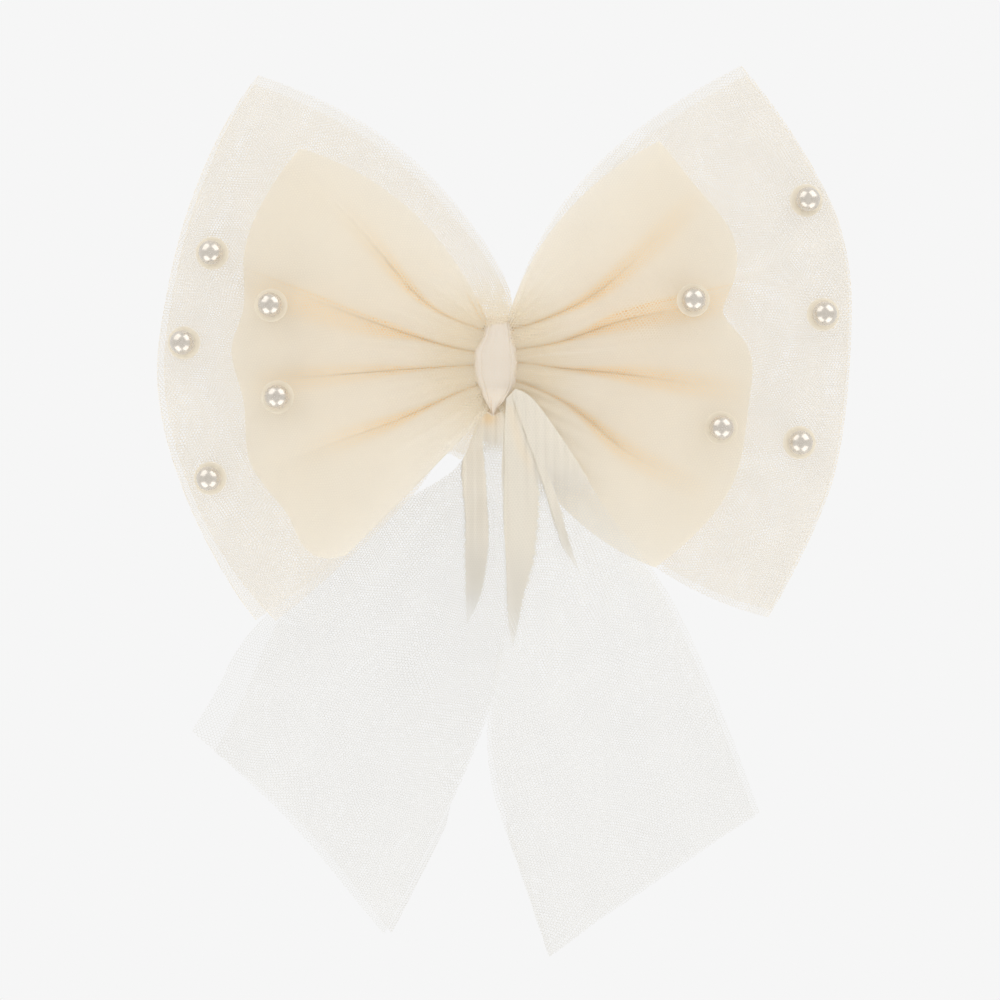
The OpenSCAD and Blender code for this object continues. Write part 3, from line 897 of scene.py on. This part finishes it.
PLY_LIFT = 0.7  # each ply of a tail lies this far from the middle between them
LEFT_SIDE = (left_hang, left_waves, (-31, -20))  # the last pair: the heights between which it is packed close and painted with the glow and shade of stacked plies
RIGHT_SIDE = (right_hang, right_waves, (-46, -31))
LEFT_EDGES, LEFT_EDGES_BACK = (LEFT_TAIL_L, LEFT_TAIL_R), (LEFT_TAIL_L_BACK, LEFT_TAIL_R)
RIGHT_EDGES = (RIGHT_TAIL_L, RIGHT_TAIL_R)
RIGHT_FOLDS = [right_fold, right_fold_2]
TAILS = [
    ("left_tail_front", LEFT_EDGES, 4.0, LEFT_SIDE, [left_fold], -PLY_LIFT, (0, 0), tail_a),
    ("left_tail_back", LEFT_EDGES_BACK, 3.0, LEFT_SIDE, [], PLY_LIFT, (-1.6, -2.0), tail_b),
    ("right_tail_front", RIGHT_EDGES, 2.0, RIGHT_SIDE, RIGHT_FOLDS, -PLY_LIFT, (0, 0), tail_c),
    ("right_tail_back", RIGHT_EDGES, 1.0, RIGHT_SIDE, [], PLY_LIFT, (-1.5, -1.5), tail_b),
]
for name, *shape, material in TAILS:
    node = "left_tail" if name.startswith("left") else "right_tail"
    cloth(tail_sheet(name, *shape), material, node)

# ---- knot
# one half of the wrap's section round the gathers and the plate, as (y, z)
WRAP_SIDE = [
    (-17.5, 0), (-17.4, 6.5), (-16.7, 12.3), (-14.4, 15.3), (-9.5, 14.8), (-6.0, 9.0), (-3.3, 6.0), (-3.1, 0),
]
WRAP_ROUND, WRAP_CELLS = 200, 80  # points round the section, and cells across the wrap
CORNER_ROUNDS = 14  # times that the section's corners are smoothed
BACK_HALF = 6.6  # half the wrap's width behind
FLANK = math.radians(84)  # how far round its sides curve, from the middle
# the knot's two sides in front, x against height
KNOT_LEFT = spline([
    (-17.4, -1.3), (-15.8, -2.0), (-13.3, -3.2), (-10.5, -4.4), (-8, -5.4), (-5, -6.8),
    (0, -7.2), (4.5, -6.9), (8, -4.9), (12, -3.6), (15.5, -2.6),
])
KNOT_RIGHT = spline([
    (-17.4, -0.2), (-15.8, 0.6), (-13.3, 2.7), (-10.5, 4.7), (-8, 6.3), (-5, 7.0),
    (0, 7.3), (4.5, 7.0), (8, 6.2), (12, 5.6), (15.5, 4.7),
])


def wrap_section():
    """The wrap's section as y, z and the length along it, with its front drawn out to the knot's height."""
    half = np.array(WRAP_SIDE)
    loop = np.vstack([half, (half * [1, -1])[-2:0:-1]])
    closed = np.vstack([loop, loop[:1]])
    lengths = np.concatenate([[0], np.cumsum(np.linalg.norm(np.diff(closed, axis=0), axis=1))])
    at = np.linspace(0, lengths[-1], WRAP_ROUND, endpoint=False)
    y = np.interp(at, lengths, closed[:, 0])
    z = np.interp(at, lengths, closed[:, 1])
    for _ in range(CORNER_ROUNDS):
        y = (np.roll(y, 1) + 2 * y + np.roll(y, -1)) / 4
        z = (np.roll(z, 1) + 2 * z + np.roll(z, -1)) / 4
    front = smooth(-y, 8, 14)
    z = z + front * np.where(z < 0, -2.6, 0.9) * smooth(np.abs(z), 5, 14)
    return y, z, at, front


def wrap_folds(q, z):
    """How far the wrap's folds stand out, across it by q from -1 to 1 and up it by z."""
    folds = 0.05 * np.sin(q * 15 + 0.5) + 0.04 * np.sin(q * 27 + 1.7 + z * 0.1)
    for ridge, groove in ((0.62, 0.53), (-0.6, -0.48)):
        folds = folds + 0.22 * np.exp(-(((q - ridge) / 0.06) ** 2))
        folds = folds - 0.22 * np.exp(-(((q - groove) / 0.035) ** 2))
    in_tip = -0.5 * np.exp(-(((q - 0.45) / 0.09) ** 2)) - 0.5 * np.exp(-(((q + 0.3) / 0.1) ** 2))
    return folds + smooth(-z, 9, 15) * in_tip


def knot():
    y, z, at, front = wrap_section()
    left, right = KNOT_LEFT(z), KNOT_RIGHT(z)
    centre = (left + right) / 2 * front
    wide = (right - left) / 2 * front + BACK_HALF * (1 - front)
    out = np.stack([np.gradient(z), -np.gradient(y)], -1)
    out = out / np.linalg.norm(out, axis=1, keepdims=True)
    middle = np.array([-10.0, 0.0])
    out = out * np.sign(((np.stack([y, z], -1) - middle) * out).sum(1))[:, None]
    q = np.linspace(-1, 1, WRAP_CELLS + 1)[None]
    angle = q * FLANK
    x = centre[:, None] + wide[:, None] * np.sin(angle) / math.sin(FLANK)
    level = 0.25 + 0.75 * np.abs(out[:, 0])
    sink = ((1.9 * front + 0.35 * (1 - front)) * level)[:, None] * (1 - np.cos(angle))
    folds = wrap_folds(q, z[:, None])
    push = folds * front[:, None] - sink
    tip_forward = (2.6 * smooth(-z, 8, 13.5) * front)[:, None]
    points = np.stack([x, y[:, None] + out[:, :1] * push - tip_forward, z[:, None] + out[:, 1:] * push], -1)
    net = np.stack(np.broadcast_arrays(x, at[:, None]), -1)
    # painted shade in the wrap's grooves and towards its flanks, which also packs its net closer there
    crease = np.clip(-folds * 1.6 - 0.06, 0, 1) * 0.7 + 0.35 * smooth(np.abs(q), 0.8, 1.0) * front[:, None]
    return grid_object("knot_wrap", points, net, np.clip(crease, 0, 1), wrap_rows=True)


wrap = cloth(knot(), wrap_material("wrap_cloth"), "centre_wrap")

# ---- thread round the gathers
THREAD_TURNS, THREAD_PITCH, THREAD_R = 6, 1.5, 0.2
THREAD_Y, THREAD_DEEP, THREAD_HIGH = -10.85, 4.5, 13.7  # the turns' middle, half depth and half height


def rounded(wave, power):
    """A sine or cosine drawn out towards a square, for a section with rounded corners."""
    return np.sign(wave) * np.abs(wave) ** power


def tube_loop(name, path, radius, sides=8):
    """A closed round tube through points in mm."""
    ahead = np.roll(path, -1, 0) - np.roll(path, 1, 0)
    ahead /= np.linalg.norm(ahead, axis=1, keepdims=True)
    side = np.array([1.0, 0, 0])
    up = np.cross(ahead, side)
    up /= np.linalg.norm(up, axis=1, keepdims=True)
    a = np.linspace(0, 2 * np.pi, sides, endpoint=False)
    ring = radius * (np.cos(a)[None, :, None] * side + np.sin(a)[None, :, None] * up[:, None])
    return grid_object(name, path[:, None] + ring, wrap_rows=True, wrap_cols=True)


def thread_turn(i):
    a = np.linspace(0, 2 * np.pi, 96, endpoint=False)
    x = (i - (THREAD_TURNS - 1) / 2) * THREAD_PITCH + 0.25 * np.sin(a)
    y = THREAD_Y + THREAD_DEEP * rounded(np.cos(a), 0.35)
    z = THREAD_HIGH * rounded(np.sin(a), 0.35)
    return tube_loop(f"binding_turn_{i + 1}", np.stack([x, y, z], -1), THREAD_R)


thread_mat = thread_material("thread_yarn")
for i in range(THREAD_TURNS):
    cloth(thread_turn(i), thread_mat, "binding_thread")

# ---- ribbon pad under the plate
PAD_BEND_R, PAD_BEND_Y = 90.85, 85.55  # the plate's bend, which the pad follows: its radius and its middle
PAD_THICK, RIB_HIGH, RIB_PITCH = 0.6, 0.05, 0.9


def ribbon():
    """A ribbed strip that follows the plate."""
    lo, hi = (np.array(c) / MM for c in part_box("backing_pad"))
    x = np.linspace(lo[0], hi[0], 220)
    y = PAD_BEND_Y - np.sqrt(PAD_BEND_R**2 - x**2)
    lean = np.arcsin(x / PAD_BEND_R)
    n = np.stack([np.sin(lean), -np.cos(lean)], -1)
    # a rounded strip's section, right round: the height and the distance from the plate
    a = np.linspace(0, 2 * np.pi, 60, endpoint=False)
    height = (hi[2] - lo[2]) / 2 * rounded(np.cos(a), 0.25)
    off = PAD_THICK / 2 + PAD_THICK / 2 * rounded(np.sin(a), 0.5)
    off = off[None] + RIB_HIGH * np.sin(x[:, None] * 2 * np.pi / RIB_PITCH) * (np.sin(a)[None] > 0.2)
    px, pz = np.broadcast_arrays(x[:, None] + n[:, :1] * off, height)
    points = np.stack([px, y[:, None] + n[:, 1:] * off, pz], -1)
    net = np.stack(np.broadcast_arrays(x[:, None], height), -1)
    return grid_object("grosgrain_pad", points, net, wrap_cols=True, caps=True)


pad = cloth(ribbon(), ribbon_material("grosgrain"), "backing_pad")

# ---- pearls, discs and caps
PEARLS = 10
BEAD_R, BEAD_UP = 4, 3.8  # a bead, and its middle's height above its disc's back
BEAD_FLAT = 3.4  # from the bead's middle to the small flat round its hole
PIN_R, PIN_DOWN = 0.6, 1.9  # the rivet pin, and how far it reaches behind the disc
DISC_R, DISC_T, DISC_HOLE = 5.5, 0.4, 0.62
DISC_RIM = 0.2  # the radius of the disc's rounded rim
LEAN_FORWARD = np.array([0, -0.7, 0])  # each bead leans this way from its disc's own axis


def disc_frame(i):
    """The middle of a disc's back, in metres, and the direction of its pin."""
    co = np.array([v.co for v in nodes[f"pearl_disc_{i}"].data.vertices], float)
    centre = co.mean(0)
    axis = np.linalg.eigh(np.cov((co - centre).T))[1][:, 0]
    if axis[1] > 0:
        axis = -axis
    axis = axis + LEAN_FORWARD
    axis = axis / np.linalg.norm(axis)
    return centre - axis * DISC_T / 2 * MM, axis


def disc_profile():
    rim = [math.radians(t) for t in range(-90, 91, 18)]
    edge = DISC_R - DISC_RIM
    profile = [(DISC_HOLE, 0.0)]
    profile += [(edge + DISC_RIM * math.cos(t), DISC_RIM + DISC_RIM * math.sin(t)) for t in rim]
    return profile + [(4.9, DISC_T), (DISC_HOLE, DISC_T), (DISC_HOLE, 0.0)]


def bead_profile():
    """A bead on its pin, with the small flat and the rim round its hole."""
    flat_r = math.sqrt(BEAD_R**2 - BEAD_FLAT**2)
    round_it = np.linspace(math.asin(-BEAD_FLAT / BEAD_R), math.pi / 2, 44)[:-1]
    profile = [(0.0, -PIN_DOWN), (PIN_R, -PIN_DOWN), (PIN_R, DISC_T), (flat_r - 0.15, DISC_T)]
    profile += [(BEAD_R * math.cos(t), BEAD_UP + BEAD_R * math.sin(t)) for t in round_it]
    return profile + [(0.0, BEAD_UP + BEAD_R)]


pearl_mat, disc_mat = pearl_material("pearl_lacquer"), disc_material("disc_plastic")
steel = steel_material("brushed_nickel")
for i in range(1, PEARLS + 1):
    base, axis = disc_frame(i)
    disc = lathe(f"pearl_disc_{i}_round", disc_profile(), base, axis)
    cloth(disc, disc_mat, f"pearl_disc_{i}")
    bead = lathe(f"pearl_{i}_bead", bead_profile(), base, axis)
    cloth(bead, pearl_mat, f"pearl_{i}")

# the metal keeps the CAD's shapes, with their edges broken
for node in nodes.values():
    if node.hide_render:
        continue
    node.data.materials.clear()
    node.data.materials.append(steel)
    edges = node.modifiers.new("edges", "BEVEL")
    edges.width = 0.00009
    edges.segments = 2
    edges.limit_method = "ANGLE"
    edges.angle_limit = math.radians(40)

# ---- floor, light and camera
CENTRE = Vector((0.0015, -0.02, -0.0457))  # what the lamps point at
CAMERA_BACK = 1.389  # from there to the camera
FLOOR_Z, FLOOR_R = -1900.0, 2600  # mm


def floor():
    turns, rings = 96, 24
    a = np.linspace(0, 2 * np.pi, turns, endpoint=False)
    r = np.linspace(0, 1, rings)[:, None] ** 1.2 * FLOOR_R
    points = np.stack([r * np.cos(a), r * np.sin(a), np.full((rings, turns), FLOOR_Z)], -1)
    obj = grid_object("floor", points, wrap_cols=True)
    s = Shader("floor_paper")
    where = s.here()
    grain = s.noise(where, 180, 3.0)
    colour = s.blend(grain, (0.84, 0.84, 0.84), (0.87, 0.87, 0.87))
    paper = s.principled(colour, 0.85, s.bump(grain, 0.0002, 0.2))
    fade = s.map_range(s.vector("LENGTH", where, out=1), 0.9, 2.4)
    obj.data.materials.append(s.finish(s.mix(fade, paper, s.node("ShaderNodeBsdfTransparent").outputs[0])))


def studio():
    """A pale card behind the object sends light back through the net, and the room in front is dimmer."""
    world = bpy.data.worlds.new("studio")
    bpy.context.scene.world = world
    s = Shader("studio", world, "ShaderNodeOutputWorld")
    parts = s.node("ShaderNodeSeparateXYZ")
    s.feed(parts.inputs[0], s.node("ShaderNodeTexCoord").outputs["Generated"])
    seen, light = s.node("ShaderNodeBackground"), s.node("ShaderNodeBackground")
    seen.inputs[0].default_value = (0.922, 0.922, 0.922, 1)
    s.feed(light.inputs[1], s.map_range(parts.outputs[1], -0.25, 0.35, 0.92, 1.0))
    camera_ray = s.node("ShaderNodeLightPath").outputs["Is Camera Ray"]
    s.finish(s.mix(camera_ray, light.outputs[0], seen.outputs[0]))


def lamp(name, right, up, size, power):
    data = bpy.data.lights.new(name, "AREA")
    data.shape = "SQUARE"
    data.size = size
    data.energy = power
    obj = add(name, data)
    obj.location = CENTRE + Vector((right, -0.4, up))
    obj.rotation_mode = "QUATERNION"
    obj.rotation_quaternion = (CENTRE - obj.location).to_track_quat("-Z", "Y")


def camera():
    data = bpy.data.cameras.new("camera")
    data.lens, data.sensor_width = 150, 36
    obj = add("camera", data)
    obj.location = CENTRE - Vector((0, CAMERA_BACK, 0))
    obj.rotation_euler = (math.radians(90), 0, 0)
    bpy.context.scene.camera = obj
    bpy.context.scene.view_settings.view_transform = "Standard"


floor()
studio()
lamp("key", 0.9, 1.05, 1.3, 7.2)
lamp("fill", -0.9, 1.05, 1.3, 5.8)
lamp("low_right", 0.8, -1.12, 1.2, 6.2)
lamp("low_left", -0.8, -1.12, 1.2, 6.2)
camera()

bpy.context.view_layer.update()
